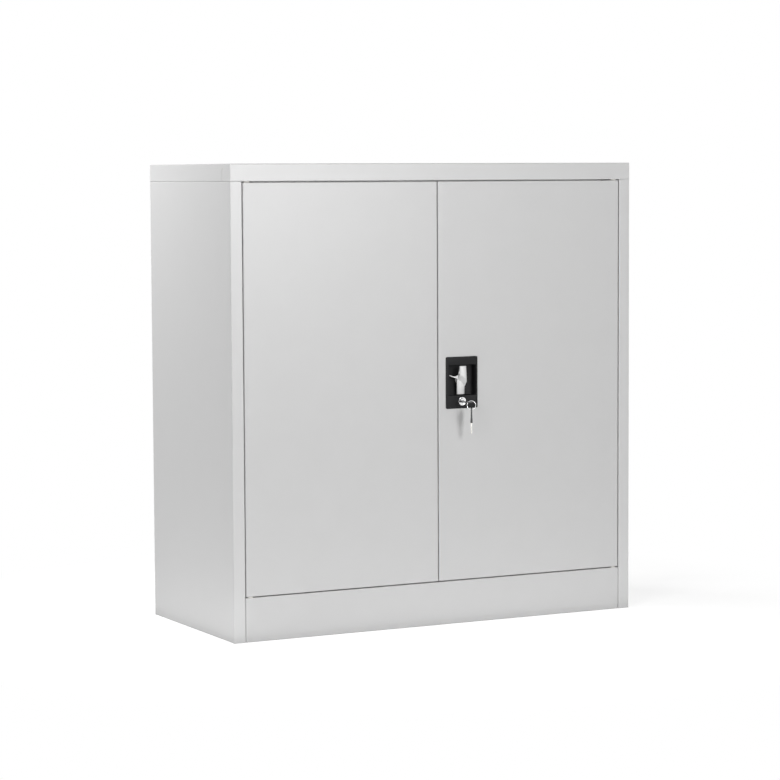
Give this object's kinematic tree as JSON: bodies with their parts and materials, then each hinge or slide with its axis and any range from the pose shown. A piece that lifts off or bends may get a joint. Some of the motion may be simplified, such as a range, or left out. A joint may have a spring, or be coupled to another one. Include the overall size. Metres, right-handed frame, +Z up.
{
  "type": "tool cabinet with doors",
  "caption": "Half-height steel tool cabinet on a plinth, with hinged flush doors, a recessed turn handle driving shoot bolts, a key lock and adjustable shelves.",
  "frame": {"origin": "on the floor, in the middle of the plinth's foot flange, 9 mm behind the front face", "axes": "+X to the right seen from the front, -Y out of the front, +Z up"},
  "size_m": [0.9, 0.4436, 0.925],
  "materials": {
    "grey_coat": "satin powder coat",
    "zinc": "bright zinc plate",
    "steel": "plain",
    "chrome": "polished",
    "key_steel": "nickel plate",
    "black_plastic": "moulded",
    "nylon": "moulded",
    "buffer_rubber": "matte"
  },
  "bodies": {
    "carcase": {"side_panel_left": "grey_coat", "side_panel_right": "grey_coat", "top_tray": "grey_coat", "base_tray": "grey_coat", "back_panel_left": "grey_coat", "back_panel_right": "grey_coat", "deck_stiffener": "grey_coat", "upright_front_left": "grey_coat", "upright_rear_left": "grey_coat", "upright_front_right": "grey_coat", "upright_rear_right": "grey_coat", "shelf_lower": "grey_coat", "shelf_upper": "grey_coat", "shelf_clips_lower": "zinc", "shelf_clips_upper": "zinc", "hinge_plates": "steel", "hinge_washers": "nylon", "door_buffers": "buffer_rubber", "back_screws": "zinc"},
    "left_door": {"left_door": "grey_coat", "left_door_stiffener": "grey_coat", "left_hinge_pins": "steel"},
    "right_door": {"right_door": "grey_coat", "right_door_stiffener": "grey_coat", "right_hinge_pins": "steel", "lock_cup": "black_plastic", "lock_cup_frame": "zinc", "cup_screws": "zinc", "rod_guide_upper": "nylon", "rod_guide_lower": "nylon", "guide_screws": "zinc", "lock_barrel": "chrome", "barrel_nut": "zinc"},
    "handle": {"handle": "chrome", "spindle": "steel", "crank_plate": "zinc", "spindle_screw": "zinc"},
    "upper_bolt": {"rod_upper": "zinc"},
    "lower_bolt": {"rod_lower": "zinc"},
    "key": {"lock_plug": "chrome", "lock_cam": "zinc", "cam_screw": "zinc", "key_blade": "key_steel", "key_bow": "black_plastic"},
    "key_ring": {"key_ring": "chrome"},
    "spare_key": {"spare_key_blade": "key_steel", "spare_key_bow": "black_plastic"}
  },
  "joints": [
    {"name": "left_door_hinge", "type": "hinge", "parent": "carcase", "child": "left_door", "pos_m": [-0.413, -0.004, 0.089], "axis": [0, 0, -1], "range_deg": [0, 110]},
    {"name": "right_door_hinge", "type": "hinge", "parent": "carcase", "child": "right_door", "pos_m": [0.413, -0.004, 0.089], "axis": [0, 0, 1], "range_deg": [0, 110]},
    {"name": "handle_turn", "type": "hinge", "parent": "right_door", "child": "handle", "pos_m": [0.0545, 0, 0.4917], "axis": [0, -1, 0], "range_deg": [0, 90]},
    {"name": "upper_bolt_slide", "type": "slide", "parent": "right_door", "child": "upper_bolt", "axis": [0, 0, 1], "range_m": [0, 0.0198]},
    {"name": "lower_bolt_slide", "type": "slide", "parent": "right_door", "child": "lower_bolt", "axis": [0, 0, -1], "range_m": [0, 0.0198]},
    {"name": "key_turn", "type": "hinge", "parent": "right_door", "child": "key", "pos_m": [0.0528, 0, 0.4494], "axis": [0, 1, 0], "range_deg": [0, 90]},
    {"name": "key_ring_swing", "type": "hinge", "parent": "key", "child": "key_ring", "pos_m": [0.05759, -0.04199, 0.4494], "axis": [-0.8878, 0.4602, 0], "range_deg": [-8, 25]},
    {"name": "spare_key_swing", "type": "hinge", "parent": "key_ring", "child": "spare_key", "pos_m": [0.05759, -0.04199, 0.4349], "axis": [-0.8878, 0.4602, 0], "range_deg": [-6, 60]}
  ],
  "couplings": [
    {"joint": "upper_bolt_slide", "follows": "handle_turn", "m_per_rad": 0.0126},
    {"joint": "lower_bolt_slide", "follows": "handle_turn", "m_per_rad": 0.0126}
  ]
}
